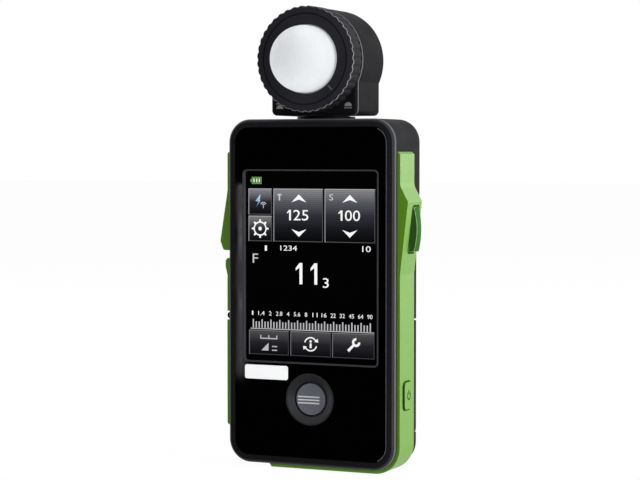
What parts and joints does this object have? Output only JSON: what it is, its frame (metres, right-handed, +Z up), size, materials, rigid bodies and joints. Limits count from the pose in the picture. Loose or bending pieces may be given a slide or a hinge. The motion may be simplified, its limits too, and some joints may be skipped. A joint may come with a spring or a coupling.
{
  "type": "light meter",
  "caption": "Hand-held light meter with a large display, a turning head with a white dome in a scalloped ring, side buttons and green side trims.",
  "frame": {"origin": "on the resting face under the green bottom trim, midway between the left and right sides and midway between the dome's front and the case's back", "axes": "+X to the object's right as seen from the front, +Y from the front to the back, +Z up"},
  "size_m": [0.0628, 0.0368, 0.14],
  "materials": {
    "grey_case": "fine grained, satin",
    "black_panel": "polished black",
    "window_line": "polished grey",
    "cover_glass": "clear, smooth",
    "display": "lit display",
    "steel_plate": "pressed plate",
    "board_green": "solder mask",
    "chip_black": "moulded",
    "tin_can": "tinned",
    "screw_steel": "plain",
    "screw_black": "blackened",
    "white_label": "printed film, bare",
    "menu_dish": "satin",
    "menu_face": "satin",
    "lime_trim": "semi-gloss lime green",
    "dark_green": "satin dark green",
    "socket_cream": "plain",
    "tray_black": "moulded",
    "spring_nickel": "nickel plated",
    "cell_skin": "plain sleeve",
    "bush_brass": "turned",
    "neck_black": "moulded",
    "shaft_steel": "turned",
    "head_grey": "fine grained",
    "ring_grey": "fine grained",
    "dome_white": "opal white",
    "carrier_white": "moulded",
    "sensor_cell": "coated",
    "filter_glass": "blue-green",
    "lead_rubber": "plain sleeve"
  },
  "bodies": {
    "case": {"front_case": "grey_case", "rear_case": "grey_case", "front_panel": "black_panel", "window_frame": "window_line", "touch_panel": "cover_glass", "lcd_module": "display", "display_frame": "steel_plate", "main_board": "board_green", "board_chips": "chip_black", "radio_module": "tin_can", "board_screws": "screw_steel", "blank_label": "white_label", "menu_ring": "menu_dish", "menu_switch": "chip_black", "key_board": "board_green", "side_trim_right": "lime_trim", "measuring_switch": "chip_black", "power_switch": "chip_black", "side_trim_left": "lime_trim", "memory_switch": "chip_black", "terminal_cover_pin": "screw_steel", "usb_socket": "tin_can", "sync_terminal": "tin_can", "lead_socket": "socket_cream", "battery_door_pin": "screw_steel", "battery_tray": "tray_black", "battery_contacts": "spring_nickel", "battery_cell_1": "cell_skin", "battery_cell_2": "cell_skin", "tripod_socket": "bush_brass", "case_screws": "screw_black", "swivel_collar": "neck_black", "friction_washer": "spring_nickel", "case_lead": "lead_rubber"},
    "head": {"head_housing": "head_grey", "head_back_cover": "head_grey", "head_screws": "screw_black", "swivel_shaft": "shaft_steel", "swivel_retainer": "shaft_steel", "sensor_base": "tray_black", "photo_sensor": "sensor_cell", "sensor_filter": "filter_glass", "sensor_board": "board_green", "sensor_lead": "lead_rubber", "guide_sleeve": "carrier_white"},
    "ring": {"dome_ring": "ring_grey", "ring_circlip": "spring_nickel"},
    "dome": {"diffuser_dome": "dome_white", "dome_carrier": "carrier_white", "carrier_pins": "screw_steel"},
    "menu key": {"menu_button": "menu_face"},
    "measuring key": {"measuring_button": "dark_green"},
    "power key": {"power_button": "lime_trim"},
    "memory key": {"memory_button": "lime_trim"},
    "battery lid": {"battery_door": "grey_case"},
    "terminal flap": {"terminal_cover": "lime_trim"}
  },
  "joints": [
    {"name": "head_swivel", "type": "hinge", "parent": "case", "child": "head", "pos_m": [0, 0.00857, 0.107], "axis": [0, 0, 1], "range_deg": [-90, 180]},
    {"name": "ring_turn", "type": "hinge", "parent": "head", "child": "ring", "pos_m": [0, -0.00403, 0.1241], "axis": [0, 1, 0], "range_deg": [0, 84]},
    {"name": "dome_slide", "type": "slide", "parent": "head", "child": "dome", "axis": [0, 1, 0], "range_m": [0, 0.009]},
    {"name": "menu_press", "type": "slide", "parent": "case", "child": "menu key", "axis": [0, 1, 0], "range_m": [0, 0.0006], "stiffness_N_per_m": 300, "springref_m": -0.0003},
    {"name": "measuring_press", "type": "slide", "parent": "case", "child": "measuring key", "axis": [-1, 0, 0], "range_m": [0, 0.001], "stiffness_N_per_m": 300, "springref_m": -0.0003},
    {"name": "power_press", "type": "slide", "parent": "case", "child": "power key", "axis": [-1, 0, 0], "range_m": [0, 0.0005], "stiffness_N_per_m": 300, "springref_m": -0.0003},
    {"name": "memory_press", "type": "slide", "parent": "case", "child": "memory key", "axis": [1, 0, 0], "range_m": [0, 0.0007], "stiffness_N_per_m": 300, "springref_m": -0.0003},
    {"name": "battery_lid_hinge", "type": "hinge", "parent": "case", "child": "battery lid", "pos_m": [0, 0.01437, 0.0114], "axis": [-1, 0, 0], "range_deg": [0, 90]},
    {"name": "terminal_flap_hinge", "type": "hinge", "parent": "case", "child": "terminal flap", "pos_m": [-0.02765, 0.00347, 0.04605], "axis": [0, -1, 0], "range_deg": [0, 95]}
  ],
  "couplings": [
    {"joint": "dome_slide", "follows": "ring_turn", "m_per_rad": 0.006138}
  ]
}
